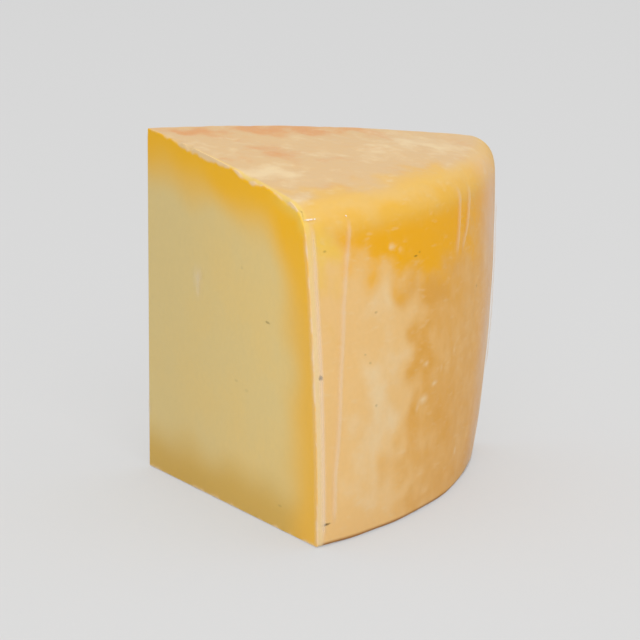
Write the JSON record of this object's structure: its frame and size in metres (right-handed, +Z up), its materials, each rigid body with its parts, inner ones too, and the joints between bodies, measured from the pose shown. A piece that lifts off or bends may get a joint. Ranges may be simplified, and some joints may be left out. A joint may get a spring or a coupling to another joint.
{
  "type": "pecorino wedge",
  "caption": "Upright wedge of a small pressed cheese wheel with a domed top and rounded rim, wrapped tightly in clear film and standing on its flat foot.",
  "frame": {"origin": "middle of the footprint's box, on the plane that the wedge stands on", "axes": "+X from the upright tip edge to the rind along the wedge's bisector, +Y towards the far cut, +Z up"},
  "size_m": [0.0986, 0.1208, 0.1066],
  "materials": {
    "cheese": "waxy straw-yellow paste that darkens to amber near the rind, mottled cream and orange-tan rind",
    "film": "thin clear cling film, glossy, whiter along its folds"
  },
  "bodies": {
    "root": {"pecorino_wedge": "cheese"}
  },
  "joints": []
}
